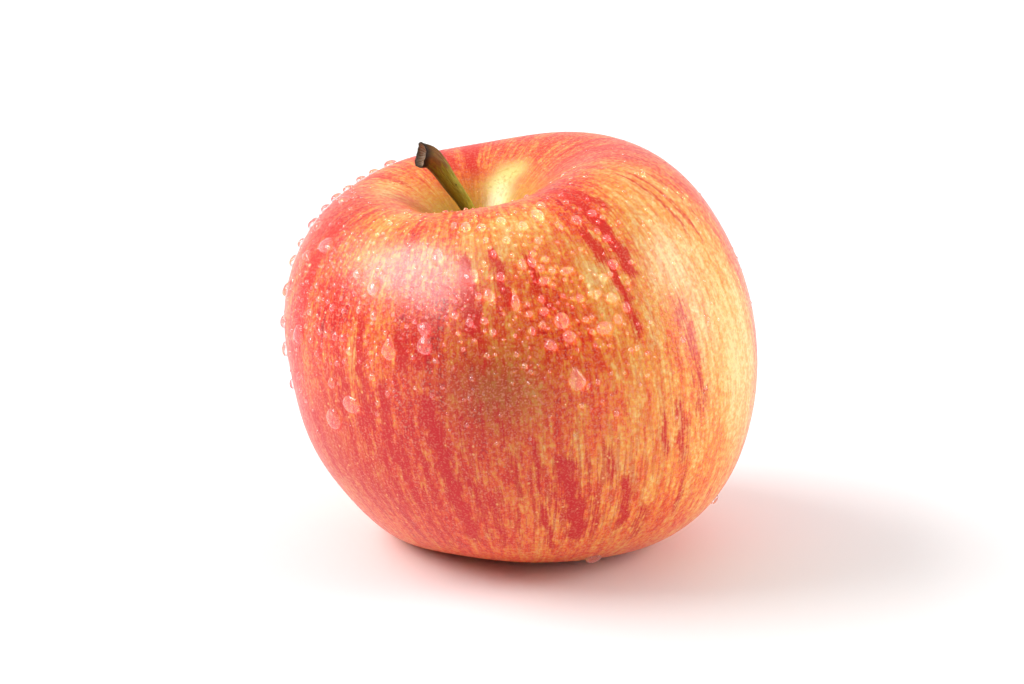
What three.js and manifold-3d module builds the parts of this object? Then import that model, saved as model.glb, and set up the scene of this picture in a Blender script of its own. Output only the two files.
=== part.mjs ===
import * as THREE from 'three';
import { mergeVertices } from 'three/addons/utils/BufferGeometryUtils.js';
import Module from 'manifold-3d';

// A ripe apple that stands on its base, in millimetres, with +Z up. The origin lies on the surface
// that the apple stands on, under the middle of its box.
// Every piece is shaped in the frame that the apple grew in: Z runs along the core, the stem end up,
// with zero at the core's middle. theta is the angle down from the stem end, and phi goes round the core.

// How the apple stands: its core leans to the left, and half a millimetre of its base is flat
const LEAN = THREE.MathUtils.degToRad(-5.5);
const CORE_MIDDLE = new THREE.Vector3(-4.7, -0.7, 30.5);

// Fruit
const BELLY = 37.4; // from the core out to the skin at its widest
const SHOULDER = 37.8; // from the core's middle up, before the cavity is sunk
const HEEL = 35.8; // from the core's middle down, before the basin is sunk
const FULLNESS = 2.3; // 2 gives an ellipse, and more gives squarer shoulders
const TAPER = 0.05; // share of the girth that is lost at the base
const CAVITY = { depth: 21.6, reach: 0.39 }; // hollow round the stem, its reach in radians
const BASIN = { depth: 11.2, reach: 0.38 }; // hollow round the calyx
const LOBES = { count: 5, height: 0.5, phi: 0.87 }; // low ribs at the crown and the base
const OVAL = 1.5; // the section is this much wider along X and narrower along Y
const SWELLINGS = [
  { theta: 0.75, x: 3.9, y: 2.4 },
  { theta: 1.55, x: 4.3, y: 0.5 },
  { theta: 2.3, x: 6, y: 1.5 },
]; // uneven growth, each band pushed out to one side by x and y
const SWELLING_REACH = 0.5;
const FRUIT_RINGS = 48;
const FRUIT_SIDES = 72;
const RING_CROWDING = 0.5; // how much closer the rings are towards the two ends

// Stem
const STEM_PATH = [
  [0, 0, 11],
  [0, 0, 14.3],
  [0, 0, 17.8],
  [-0.55, -0.05, 21.8],
  [-1.6, -0.2, 25.9],
  [-3.9, -0.5, 30.3],
  [-5.7, -0.95, 33.7],
  [-6.8, -1.35, 35],
  [-8.1, -2, 35.5],
];
const STEM = { shaft: 1.1, root: 0.25, rootReach: 0.25, head: 0.8, headFrom: 0.5, headPower: 1.7 };
const STEM_RINGS = 34;
const STEM_SIDES = 20;
const CUP = { wall: 0.45, depth: 1.1, floor: 0.6, lip: 0.4, ragged: 0.15, onset: 16 }; // the broken end

// Calyx, the dried flower in the basin
const CALYX_TUBE = { radius: 2.2, top: -20.6, bottom: -25 };
const SEPALS = 5;
const SEPAL_PATH = [
  [1.7, -24],
  [1.75, -26],
  [2.1, -27.9],
  [3, -29.3],
  [4.3, -29.8],
]; // distance from the core, and height
const SEPAL = { width: 2.6, thickness: 0.75, narrowing: 0.8, rings: 9, sides: 8 };
const STAMENS = 8;
const STAMEN = { radius: 0.32, length: 3.4, rooted: 1, spread: 0.9, lean: 0.28, rings: 5, sides: 6 };
const ANTHER = { swell: 0.22, at: 0.9, reach: 0.15 }; // the small head of a stamen

// Gaps and cuts
const CLEARANCE = 0.3; // between the fruit and a piece that is rooted in it
const FLOOR_SIZE = 120; // block that flattens the base
const SOCKET_SIDES = 24;
const WELD = 1e-5; // points this close are one

const TURN = Math.PI * 2;
const GOLDEN_ANGLE = Math.PI * (3 - Math.sqrt(5));

const wasm = await Module();
wasm.setup();

// Solid of a closed geometry, for joining and cutting
function toSolid(geometry) {
  const bare = new THREE.BufferGeometry();
  bare.setAttribute('position', geometry.getAttribute('position'));
  bare.setIndex(geometry.getIndex());
  const welded = mergeVertices(bare, WELD);
  const vertProperties = new Float32Array(welded.getAttribute('position').array);
  const triVerts = new Uint32Array(welded.getIndex().array);
  return new wasm.Manifold(new wasm.Mesh({ numProp: 3, vertProperties, triVerts }));
}

function toGeometry(solid) {
  const { vertProperties, triVerts } = solid.getMesh();
  const geometry = new THREE.BufferGeometry();
  geometry.setAttribute('position', new THREE.BufferAttribute(vertProperties, 3));
  geometry.setIndex(new THREE.BufferAttribute(triVerts, 1));
  geometry.computeVertexNormals();
  return geometry;
}

// Closed surface from a first point through rings to a last point. Seen from the last point, the
// rings run anticlockwise, so that the faces point outwards.
function loft(first, rings, last) {
  const sides = rings[0].length;
  const points = [first, ...rings.flat(), last];
  const endPoint = points.length - 1;
  const endRing = 1 + (rings.length - 1) * sides;
  const indices = [];
  for (let i = 0; i < sides; i++) {
    const j = (i + 1) % sides;
    indices.push(0, 1 + j, 1 + i);
    for (let lower = 1; lower < endRing; lower += sides) {
      const upper = lower + sides;
      indices.push(lower + i, lower + j, upper + j);
      indices.push(lower + i, upper + j, upper + i);
    }
    indices.push(endRing + i, endRing + j, endPoint);
  }
  const geometry = new THREE.BufferGeometry().setFromPoints(points);
  geometry.setIndex(indices);
  geometry.computeVertexNormals();
  return geometry;
}

// Ring round a curve at t. outline(angle) gives each point's place along the ring's two axes and
// along the curve; the second axis is the one nearest to across.
function ringAround(curve, t, across, sides, outline) {
  const centre = curve.getPointAt(t);
  const tangent = curve.getTangentAt(t);
  const second = across.clone().projectOnPlane(tangent).normalize();
  const first = second.clone().cross(tangent);
  return Array.from({ length: sides }, (_, i) => {
    const [a, b, forward] = outline((i / sides) * TURN);
    const point = centre.clone().addScaledVector(first, a).addScaledVector(second, b);
    return point.addScaledVector(tangent, forward);
  });
}

// Rod through evenly spaced rings on a curve
function rod(curve, rings, sides, across, outlineAt) {
  const sections = Array.from({ length: rings }, (_, i) => {
    const t = i / (rings - 1);
    return ringAround(curve, t, across, sides, outlineAt(t));
  });
  return loft(curve.getPointAt(0), sections, curve.getPointAt(1));
}

// 1 at the middle, falling to nothing over the reach
function bell(x, middle, reach) {
  return Math.exp(-(((x - middle) / reach) ** 2));
}

// Distance of the skin from the core's middle. A superellipse is drawn out at the belly, sunk at
// both ends, ribbed in five lobes, and swollen to one side in three bands.
function skinDistance(theta, phi) {
  const sin = Math.sin(theta);
  const cos = Math.cos(theta);
  const low = (1 - cos) / 2;
  const high = 1 - low;
  const half = cos > 0 ? SHOULDER : HEEL;
  const girth = BELLY * (1 - TAPER * low ** 2);
  let distance = ((Math.abs(cos) / half) ** FULLNESS + (sin / girth) ** FULLNESS) ** (-1 / FULLNESS);
  distance -= CAVITY.depth * bell(theta, 0, CAVITY.reach);
  distance -= BASIN.depth * bell(theta, Math.PI, BASIN.reach);
  distance += sin * LOBES.height * Math.cos(LOBES.count * (phi - LOBES.phi)) * (high ** 2 + low ** 2);
  distance += sin ** 2 * OVAL * Math.cos(2 * phi);
  for (const { theta: band, x, y } of SWELLINGS) {
    distance += sin * bell(theta, band, SWELLING_REACH) * (x * Math.cos(phi) + y * Math.sin(phi));
  }
  return distance;
}

function skinPoint(theta, phi) {
  const distance = skinDistance(theta, phi);
  const out = distance * Math.sin(theta);
  return new THREE.Vector3(out * Math.cos(phi), out * Math.sin(phi), distance * Math.cos(theta));
}

// Whole skin, from the calyx end up to the stem end, with the rings closer together in the hollows
function skin() {
  const rings = [];
  for (let i = FRUIT_RINGS; i > 0; i--) {
    const share = i / (FRUIT_RINGS + 1);
    const theta = Math.PI * (share - (RING_CROWDING * Math.sin(TURN * share)) / TURN);
    const pointAt = (_, j) => skinPoint(theta, (j / FRUIT_SIDES) * TURN);
    rings.push(Array.from({ length: FRUIT_SIDES }, pointAt));
  }
  return loft(skinPoint(Math.PI, 0), rings, skinPoint(0, 0));
}

// Upright cylinder round the core
function cylinder(radius, bottom, top) {
  const geometry = new THREE.CylinderGeometry(radius, radius, top - bottom, SOCKET_SIDES);
  return geometry.rotateX(Math.PI / 2).translate(0, 0, (bottom + top) / 2);
}

// The stem is a little thicker at its root, and thickens again over its upper half
function stemRadius(t) {
  const head = Math.max(0, (t - STEM.headFrom) / (1 - STEM.headFrom));
  return STEM.shaft + STEM.root * bell(t, 0, STEM.rootReach) + STEM.head * head ** STEM.headPower;
}

// Flesh and skin in one solid, with a plain socket for each piece that is rooted in it, and with
// the lobes of its base flattened where they bear on the surface below
function makeFruit(toOwnFrame) {
  const stemFoot = STEM_PATH[0][2];
  const stemSocket = cylinder(stemRadius(0) + CLEARANCE, stemFoot - CLEARANCE, SHOULDER);
  const { radius, top, bottom } = CALYX_TUBE;
  const calyxSocket = cylinder(radius + CLEARANCE, bottom - radius, top + CLEARANCE);
  const floor = new THREE.BoxGeometry(FLOOR_SIZE, FLOOR_SIZE, FLOOR_SIZE);
  floor.translate(0, 0, -FLOOR_SIZE / 2).applyMatrix4(toOwnFrame);
  const cuts = [stemSocket, calyxSocket, floor];
  return toGeometry(cuts.reduce((solid, cut) => solid.subtract(toSolid(cut)), toSolid(skin())));
}

// Bent stem that thickens to a broken end, where a ragged rim of bark stands round a shallow cup,
// with a pointed lip at its top. broken goes from 0 on the shaft to 1 at the rim.
function makeStem() {
  const path = new THREE.CatmullRomCurve3(STEM_PATH.map((point) => new THREE.Vector3(...point)));
  const ring = (t, radius, broken) => {
    const outline = (angle) => {
      const lip = CUP.lip * Math.max(0, Math.cos(angle)) ** 4;
      const out = radius + broken * lip;
      const forward = broken * (lip + CUP.ragged * Math.sin(3 * angle));
      return [out * Math.cos(angle), out * Math.sin(angle), forward];
    };
    return ringAround(path, t, new THREE.Vector3(0, 1, 0), STEM_SIDES, outline);
  };
  const bark = Array.from({ length: STEM_RINGS }, (_, i) => {
    const t = i / (STEM_RINGS - 1);
    return ring(t, stemRadius(t), t ** CUP.onset);
  });
  const length = path.getLength();
  const innerRadius = stemRadius(1) - CUP.wall;
  const innerRim = ring(1 - CUP.wall / length, innerRadius, 1);
  const floorAt = 1 - CUP.depth / length;
  const floor = ring(floorAt, innerRadius * CUP.floor, 0);
  return loft(path.getPointAt(0), [...bark, innerRim, floor], path.getPointAt(floorAt));
}

// Pointed blade that stands in the basin and curls out at its tip
function makeSepal(phi) {
  const outwards = new THREE.Vector3(Math.cos(phi), Math.sin(phi), 0);
  const across = new THREE.Vector3(-Math.sin(phi), Math.cos(phi), 0);
  const toPoint = ([out, height]) => outwards.clone().multiplyScalar(out).setZ(height);
  const path = new THREE.CatmullRomCurve3(SEPAL_PATH.map(toPoint));
  const outlineAt = (t) => (angle) => {
    const width = SEPAL.width * (1 - SEPAL.narrowing * t ** 2);
    return [(SEPAL.thickness / 2) * Math.cos(angle), (width / 2) * Math.sin(angle), 0];
  };
  return rod(path, SEPAL.rings, SEPAL.sides, across, outlineAt);
}

// Withered thread with a small head, leaning away from the core, the outer ones further
function makeStamen(index) {
  const phi = index * GOLDEN_ANGLE;
  const out = STAMEN.spread * Math.sqrt((index + 0.5) / STAMENS);
  const foot = new THREE.Vector3(out * Math.cos(phi), out * Math.sin(phi), CALYX_TUBE.bottom + STAMEN.rooted);
  const head = foot.clone().multiplyScalar(1 + STAMEN.lean * STAMEN.length);
  head.setZ(foot.z - STAMEN.rooted - STAMEN.length);
  const path = new THREE.LineCurve3(foot, head);
  const outlineAt = (t) => (angle) => {
    const radius = STAMEN.radius + ANTHER.swell * bell(t, ANTHER.at, ANTHER.reach);
    return [radius * Math.cos(angle), radius * Math.sin(angle), 0];
  };
  return rod(path, STAMEN.rings, STAMEN.sides, new THREE.Vector3(0, 1, 0), outlineAt);
}

// Short tube that fills its socket in the fruit, with the sepals and stamens grown from it
function makeCalyx() {
  const { radius, top, bottom } = CALYX_TUBE;
  const parts = [cylinder(radius, bottom, top)];
  for (let i = 0; i < SEPALS; i++) {
    parts.push(makeSepal((i / SEPALS) * TURN));
  }
  for (let i = 0; i < STAMENS; i++) {
    parts.push(makeStamen(i));
  }
  return toGeometry(parts.map(toSolid).reduce((whole, solid) => whole.add(solid)));
}

function makeMesh(name, geometry, color, roughness) {
  const mesh = new THREE.Mesh(geometry, new THREE.MeshStandardMaterial({ color, roughness, metalness: 0 }));
  mesh.name = name;
  return mesh;
}

const standing = new THREE.Group();
standing.position.copy(CORE_MIDDLE);
standing.rotation.y = LEAN;
standing.updateMatrix();
standing.add(
  makeMesh('fruit', makeFruit(standing.matrix.clone().invert()), 0xcf4a33, 0.3),
  makeMesh('stem', makeStem(), 0x6b6423, 0.7),
  makeMesh('calyx', makeCalyx(), 0x5a4630, 0.9),
);

const group = new THREE.Group();
group.add(standing);

export default group;
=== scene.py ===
import bpy
import numpy as np
from bpy.props import FloatProperty, FloatVectorProperty, IntProperty, PointerProperty
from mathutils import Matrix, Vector


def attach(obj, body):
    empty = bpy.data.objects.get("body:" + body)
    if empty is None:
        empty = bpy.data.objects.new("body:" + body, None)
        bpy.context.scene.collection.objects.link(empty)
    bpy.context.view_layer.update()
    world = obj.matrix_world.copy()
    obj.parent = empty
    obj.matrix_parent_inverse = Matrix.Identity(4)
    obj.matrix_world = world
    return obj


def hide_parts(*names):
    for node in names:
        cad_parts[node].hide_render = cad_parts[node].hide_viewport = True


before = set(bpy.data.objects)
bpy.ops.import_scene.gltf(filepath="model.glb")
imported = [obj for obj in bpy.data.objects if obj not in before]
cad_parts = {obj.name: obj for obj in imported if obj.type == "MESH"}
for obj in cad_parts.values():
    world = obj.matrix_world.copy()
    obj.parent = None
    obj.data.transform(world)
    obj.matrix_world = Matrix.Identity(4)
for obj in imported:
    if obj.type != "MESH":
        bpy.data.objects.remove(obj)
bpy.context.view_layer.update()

bl_info = {
    "name": "Red apple",
    "version": (1, 0, 0),
    "blender": (4, 5, 0),
    "location": "3D View > Sidebar > Apple",
    "description": "A streaked red apple with its stem, its calyx and drops of water on its skin",
    "category": "Add Mesh",
}

BODY = "root"
MM = 0.001  # metres in a millimetre; every shape is worked out in millimetres
TURN = 2 * np.pi
GOLDEN_ANGLE = np.pi * (3 - np.sqrt(5))

# How the apple stands. Its pieces are shaped in the frame that it grew in: Z runs along the core, the
# stem end up, with zero at the core's middle. theta is the angle down from the stem end, and phi goes
# round the core.
LEAN = np.radians(-5.5)
CORE_MIDDLE = np.array([-4.7, -0.7, 30.5])

# Fruit, as in the solid
BELLY = 37.4
SHOULDER = 37.8
HEEL = 35.8
FULLNESS = 2.3
TAPER = 0.05
CAVITY_DEPTH, CAVITY_REACH = 21.6, 0.39
BASIN_DEPTH, BASIN_REACH = 11.2, 0.38
LOBES, LOBE_HEIGHT, LOBE_PHI = 5, 0.5, 0.87
OVAL = 1.5
# Where the front of the base stands clear of the floor: as a wash below, with the depth in mm.
BASE_RISE = ((262, 150, 28, 12, 1.1),)
# Swellings: theta, and how far out along X and along Y.
SWELLINGS = ((0.75, 3.9, 2.4), (1.55, 4.3, 0.5), (2.3, 6.0, 1.5))
SWELLING_REACH = 0.5
SKIN_RINGS, SKIN_SIDES = 255, 380
RING_CROWDING = 0.5
NORMAL_STEP = 1e-3

# Markings of the skin. Angles are in degrees.
# Washes of colour: phi, theta, reach along phi, reach along theta, amount.
# Most washes move the pigment. The pale ones at phi 320, theta 62 and at phi 214, theta 48 are painted
# reflections: soft sheen on the right shoulder, and the left edge of the window's highlight.
REDDER_AND_SHEEN = (
    (200, 60, 14, 30, 0.16), (205, 52, 8, 20, 0.16), (221, 62, 9, 16, 0.24), (240, 98, 28, 26, 0.05),
    (262, 128, 45, 14, 0.04), (192, 95, 16, 34, 0.16), (182, 40, 16, 8, 0.2), (290, 70, 9, 9, 0.16),
    (250, 66, 8, 7, 0.12), (308, 42, 10, 12, 0.14), (0, 28, 45, 12, 0.07), (95, 60, 40, 30, 0.12),
    (284, 45, 15, 11, -0.18), (227, 36, 8, 8, -0.26), (256, 58, 9, 8, 0.14), (250, 84, 22, 16, 0.12),
    (290, 112, 22, 22, -0.08), (318, 31, 12, 7, 0.2), (302, 63, 10, 15, -0.22), (281, 68, 8, 9, -0.14),
    (228, 48, 10, 8, -0.16), (238, 67, 5, 12, -0.12), (337, 84, 18, 40, -0.44), (323, 100, 8, 18, 0.14),
    (308, 82, 10, 18, -0.12), (268, 47, 11, 9, -0.2), (356, 80, 10, 40, 0.26), (329, 60, 10, 8, -0.12),
    (322, 46, 9, 9, -0.15), (230, 72, 2, 8, -0.2), (175, 27, 26, 4, -0.32), (145, 20, 20, 7, -0.16),
    (320, 62, 9, 9, -0.16), (290, 40, 9, 5, -0.2), (304, 55, 6, 6, -0.2), (338, 42, 12, 9, -0.16),
    (214, 48, 8, 9, -0.12), (211, 64, 4, 16, -0.22), (194, 66, 4, 16, -0.28), (242, 62, 6, 8, -0.08),
    (207, 86, 4, 8, -0.2), (219, 82, 3, 8, -0.18), (234, 78, 4, 10, -0.12), (289, 84, 6, 7, 0.09),
    (296, 106, 8, 8, -0.08), (290, 122, 12, 7, -0.06), (312, 104, 12, 18, -0.14),
    (299, 101, 6, 6, -0.12), (280, 78, 5, 9, -0.1), (208, 112, 12, 14, -0.1), (225, 74, 6, 8, -0.14),
    (284, 122, 14, 8, -0.1), (60, 80, 25, 40, -0.2), (140, 90, 15, 40, -0.15),
)
OLIVE = ((272, 80, 15, 12, 0.7),)
# Pale patch on the wall of the stem cavity, given as a streak: paler skin with a painted
# reflection of a window on it.
CREAM_HIGHLIGHT = ((60, 4, 62, 23, 26, 1.0),)
# Where thin dark fibres lie closest together.
FIBROUS = (
    (245, 105, 26, 26, 1.0), (290, 112, 24, 20, 0.9), (225, 75, 16, 28, 0.6), (265, 60, 18, 16, 0.4),
    (310, 70, 20, 30, 0.4), (0, 40, 60, 20, 0.3), (120, 80, 70, 50, 0.6),
)
ROSY = (
    (205, 100, 25, 30, 0.6), (185, 45, 20, 15, 0.5), (0, 30, 40, 14, 0.15), (245, 110, 34, 26, 0.4),
    (100, 70, 60, 40, 0.3),
)
# Main streaks: phi and theta of the upper end, phi and theta of the lower end, width, strength.
STREAKS = (
    (266, 46, 268, 66, 4, 1.0), (269, 65, 270, 76, 2, 0.6), (276, 45, 278, 61, 2.5, 0.9),
    (286, 48, 287, 60, 2.2, 0.8), (306, 46, 307, 56, 3, 0.9), (308, 54, 309, 75, 2.2, 0.8),
    (310, 30, 313, 61, 3, 1.0), (315, 35, 318, 45, 3, 0.8), (246, 64, 248, 75, 3, 1.0),
    (252, 61, 252, 75, 5, 0.6), (203, 40, 204, 72, 5, 1.0), (219, 52, 221, 66, 5, 0.5),
    (224, 70, 226, 84, 3, 0.7), (197, 84, 199, 100, 2.5, 0.6), (232, 59, 234, 93, 3, 0.8),
    (240, 78, 240, 101, 3.5, 0.8), (248, 82, 248, 93, 1.5, 0.6), (253, 81, 257, 104, 4, 0.9),
    (257, 102, 261, 128, 4, 0.9), (242, 99, 246, 119, 2.5, 0.7), (236, 96, 240, 122, 3, 0.6),
    (226, 91, 226, 104, 1.5, 0.6), (208, 91, 212, 113, 3, 0.7), (268, 110, 270, 129, 2.5, 0.6),
    (274, 114, 275, 130, 2, 0.5), (280, 93, 281, 110, 1.3, 0.7), (281, 112, 285, 131, 2, 0.7),
    (287, 99, 289, 112, 4, 0.9), (289, 110, 292, 126, 4.5, 1.0), (298, 97, 299, 108, 2, 0.6),
    (303, 107, 304, 123, 2.5, 0.8), (309, 116, 310, 130, 3, 0.5), (316, 91, 318, 107, 2.5, 0.6),
    (322, 69, 323, 96, 3, 0.5), (222, 74, 224, 90, 2, 0.6), (216, 100, 218, 118, 2, 0.5),
    (228, 104, 231, 124, 2.5, 0.6), (246, 118, 249, 134, 2.5, 0.6), (250, 116, 252, 131, 2, 0.6),
    (262, 84, 262, 98, 1.5, 0.5), (264, 112, 266, 126, 1.5, 0.6), (268, 82, 268, 95, 1.2, 0.5),
    (272, 84, 273, 94, 1.5, 0.5), (295, 112, 297, 128, 1.5, 0.6), (312, 92, 313, 104, 1.5, 0.6),
    (319, 108, 320, 122, 1.5, 0.5), (200, 76, 204, 100, 2, 0.5), (234, 112, 238, 132, 2.5, 0.8),
    (222, 110, 226, 128, 2, 0.6), (250, 96, 252, 116, 2, 0.8), (244, 92, 245, 104, 2, 0.7),
    (263, 104, 266, 118, 2.5, 0.7), (231, 88, 233, 100, 2, 0.6), (274, 96, 276, 112, 1.5, 0.6),
    (284, 104, 286, 116, 1.5, 0.6), (293, 100, 294, 114, 1.5, 0.5), (335, 37, 336, 60, 1, 0.6),
    (339, 40, 340, 62, 1, 0.6), (344, 36, 345, 58, 1, 0.6), (92, 21, 94, 44, 7, 1.0),
    (106, 24, 108, 36, 4, 0.8), (118, 24, 122, 48, 6, 0.7),
)
STREAK_END = 5.0  # degrees over which a streak fades at its ends
FRONT = (190, 350)  # the range of phi where the streaks above lie
STREAK_WAVER, STREAK_WAVES, STREAK_CORE = 0.15, 0.9, 0.62
# The other streaks: how many, where their upper ends begin, how far down those lie, and how much they
# crowd at the shoulder, then the ranges of their length, width and strength, and how far they drift.
MORE_STREAKS, MORE_STREAKS_SEED = 110, 4
UPPER_ENDS, UPPER_ENDS_DOWN, SHOULDER_CROWDING = 24, 95, 1.4
MORE_LENGTHS, MORE_WIDTHS, MORE_STRENGTHS, MORE_DRIFT = (12, 30), (1.2, 4.5), (0.5, 1.0), 1.5
CURVE_STEPS = 64  # between two points of a path

# Stem, as in the solid
STEM_PATH = np.array(
    [
        (0, 0, 11),
        (0, 0, 14.3),
        (0, 0, 17.8),
        (-0.55, -0.05, 21.8),
        (-1.6, -0.2, 25.9),
        (-3.9, -0.5, 30.3),
        (-5.7, -0.95, 33.7),
        (-6.8, -1.35, 35),
        (-8.1, -2, 35.5),
    ]
)
SHAFT, ROOT, ROOT_REACH = 1.1, 0.25, 0.25
HEAD, HEAD_FROM, HEAD_POWER = 0.8, 0.5, 1.7
CUP_WALL, CUP_DEPTH, CUP_FLOOR = 0.45, 1.1, 0.6
LIP, RAGGED, BREAK_ONSET = 0.4, 0.15, 16
SPLINTERS = 0.05
STEM_RINGS, STEM_SIDES, STEM_STEPS = 90, 40, 400
RIM_ALONG, RIM_OUT = 0.35, 0.45  # bevel of the rim, as shares of the wall
CUP_SHARES = np.array([0.4, 0.75, 1.0])  # rings on the way down the cup
FLOOR_SHARES = np.array([0.7, 0.35])  # rings on the way in on its floor
INSIDE = np.array([0.2, 0.8, 1, 1, 1, 1, 1])  # how far each of these rings shows the pith
RIM_FROM, RIM_FADE, RIM_LOSS = 0.94, 0.05, 0.7  # where the bark darkens to the rim

# Calyx, as in the solid
TUBE_RADIUS, TUBE_TOP, TUBE_BOTTOM = 2.2, -20.6, -25.0
TUBE_RINGS, TUBE_SIDES, TUBE_END = 8, 48, 0.98
FLUTES, FLUTE_DEPTH = 7, 0.04
SEPALS = 5
SEPAL_PATH = np.array([(1.7, -24), (1.75, -26), (2.1, -27.9), (3, -29.3), (4.3, -29.8)])  # out, height
SEPAL_WIDTH, SEPAL_THICKNESS, SEPAL_NARROWING = 2.6, 0.75, 0.8
SEPAL_RINGS, SEPAL_SIDES = 28, 20
SEPAL_THINNING, SEPAL_TWIST, SEPAL_CUP, SEPAL_WAVE = 0.5, 0.5, 0.22, 0.06
CALYX_SEED = 3
STAMENS = 8
STAMEN_RADIUS, STAMEN_LENGTH, STAMEN_ROOTED, STAMEN_SPREAD, STAMEN_LEAN = 0.32, 3.4, 1.0, 0.9, 0.28
ANTHER_SWELL, ANTHER_AT, ANTHER_REACH = 0.22, 0.9, 0.15
STAMEN_TAPER, STAMEN_SWAY, STAMEN_WAVE, ANTHER_EXTRA = 0.35, 0.25, 0.08, 0.1
STAMEN_RINGS, STAMEN_SIDES = 14, 12

# Drops of water: phi, theta, width and length in millimetres, how much the upper end narrows.
DROPS = (
    (292, 80, 3.0, 3.6, 0.5), (268, 52, 2.5, 2.6, 0.0), (257, 46, 2.0, 3.0, 0.1),
    (254, 64, 2.0, 2.2, -0.2), (254, 68, 2.4, 3.2, 0.1), (243, 69, 2.8, 3.6, 0.5),
    (291, 66, 2.3, 2.7, 0.1), (292, 70, 1.9, 2.0, 0.0), (301, 70, 2.6, 2.1, 0.0),
    (287, 71, 1.9, 1.8, 0.1), (280, 59, 1.4, 3.6, 0.6), (295, 39, 2.0, 2.6, 0.0),
    (267, 38, 1.5, 2.4, 0.0), (288, 41, 1.5, 1.8, 0.0), (281, 38, 1.6, 1.8, 0.0),
    (273, 39, 1.5, 1.6, 0.0), (262, 37, 1.0, 1.8, 0.0), (228, 86, 3.6, 3.0, 0.0),
    (219, 92, 3.6, 3.6, 0.1), (205, 47, 3.4, 3.0, 0.0), (205, 71, 3.1, 3.3, 0.0),
    (235, 54, 2.2, 2.6, 0.0), (227, 51, 1.8, 1.8, 0.0), (253, 51, 1.5, 1.6, 0.0),
    (273, 57, 1.9, 2.1, 0.3), (284, 51, 1.2, 2.0, 0.0), (287, 51, 1.3, 1.8, 0.0),
    (289, 56, 2.0, 1.2, 0.0), (296, 55, 2.2, 1.3, 0.0), (305, 64, 1.8, 1.8, 0.0),
    (309, 57, 1.5, 1.8, 0.0), (312, 44, 1.4, 1.5, 0.0), (306, 44, 1.6, 1.8, 0.0),
    (299, 36, 1.4, 1.8, 0.0), (303, 139, 2.9, 2.8, 0.0), (347, 126, 1.5, 1.8, 0.0),
    (130, 37, 2.4, 2.2, 0.0), (139, 38, 1.8, 1.6, 0.0), (146, 39, 2.0, 1.8, 0.0),
    (155, 40, 1.6, 1.8, 0.0), (161, 42, 2.4, 2.2, 0.0), (168, 44, 2.0, 1.8, 0.0),
    (173, 48, 2.2, 2.4, 0.0), (177, 53, 1.8, 1.8, 0.0), (178, 58, 2.4, 2.2, 0.0),
    (186, 64, 2.2, 2.4, 0.0), (188, 72, 2.0, 2.2, 0.0), (187, 80, 2.4, 2.6, 0.0),
    (188, 90, 1.6, 1.8, 0.0), (196, 52, 2.2, 2.0, 0.0), (188, 45, 2.2, 1.9, 0.0),
    (183, 36, 2.4, 2.2, 0.0), (193, 60, 1.8, 1.8, 0.0),
)
# Middling drops: phi and theta.
SMALL_DROPS = (
    (274, 43), (281, 44), (291, 46), (308, 38), (314, 46), (311, 51), (314, 58), (276, 47), (277, 53),
    (288, 49), (289, 53), (292, 54), (291, 51), (270, 57), (287, 60), (271, 63), (267, 63), (273, 66),
    (263, 61), (283, 63), (287, 63), (286, 66), (283, 67), (297, 62), (302, 62), (305, 59), (297, 67),
    (308, 67), (305, 69), (280, 75), (320, 78), (235, 49), (210, 57), (210, 64), (213, 60), (225, 61),
    (220, 61), (231, 60), (237, 61), (212, 71), (209, 68), (216, 68), (219, 68), (223, 68), (226, 68),
    (229, 71), (224, 75), (227, 74), (215, 74), (221, 81), (203, 83), (237, 77), (257, 72), (247, 44),
)
SMALL_DROP_SIZES, SMALL_DROP_STRETCH = (0.9, 1.4), (0.9, 1.35)
DROP_RINGS, DROP_SIDES = 8, 24
DROP_WAVERS = np.array([0.07, 0.05, 0.035])  # of a drop's edge, in two, three and four waves
DROP_DOME, DROP_SAG, TAIL_FROM = 0.85, 0.25, 0.35
DROP_WIDTHS, DROP_HEIGHTS = (1.0, 2.0, 3.5), (0.85, 0.7, 0.42)  # mm, and shares of half the width
# Where the beads are thickest: phi, theta, reach along phi, reach along theta, amount.
BEAD_CROWDS = (
    (283, 58, 26, 17, 1.0), (210, 58, 24, 20, 0.8), (245, 50, 22, 18, 0.45), (330, 50, 28, 24, 0.2),
    (270, 80, 60, 14, 0.12), (150, 45, 40, 18, 0.15),
)
BEAD_RANGE = ((110, 25), (380, 110))
BEAD_RINGS, BEAD_SIDES = 3, 8
BEAD_TRIES = 30
BEAD_HEIGHT, BEAD_STRETCH, BEAD_SMALLNESS = 0.8, (0.9, 1.25), 2.5
SPACING = 0.55  # least distance between two drops, as a share of their widths together
SINK = 0.07  # how far a drop's rim and underside lie below the skin
WATER_SEED = 11

# Photo's view
VIEW_TARGET = Vector((-1.497, -0.667, 33.03)) * MM
SENSOR_WIDTH = 36.0
BRIGHT_SIDE = (0, 0.8, 0.6)  # towards the brightest part of the room: behind the apple and above it
FRONT_FADE = (-0.25, 0.5)  # how far along it, from the dark front of the room to the rest
FLOOR_GAP = 0.03
LAMP_DISTANCE, LAMP_AIM = 3.0, 35 * MM  # from the fruit, and the height that the lamps face
CLIP_START = 0.01


# Formulas


def bell(x, middle, reach):
    """1 at the middle, falling to nothing over the reach."""
    return np.exp(-(((x - middle) / reach) ** 2))


def ease(x):
    """0 below 0, 1 above 1, and smooth between."""
    x = np.clip(x, 0, 1)
    return x * x * (3 - 2 * x)


def angles(sides):
    """Even angles of a ring's sides."""
    return np.arange(sides) / sides * TURN


def stacked(*parts):
    """Arrays of x, y and z, stretched to one shape, as points."""
    return np.stack(np.broadcast_arrays(*parts), axis=-1)


def degrees_between(phi, middle):
    """How far phi is from the middle, the short way round, in degrees."""
    return (phi - middle + 180) % 360 - 180


def tint(red, green, blue):
    """Linear colour of a tint that is given in steps of 1/255."""
    share = np.array([red, green, blue]) / 255
    linear = np.where(share <= 0.04045, share / 12.92, ((share + 0.055) / 1.055) ** 2.4)
    return tuple(float(part) for part in linear)


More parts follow.
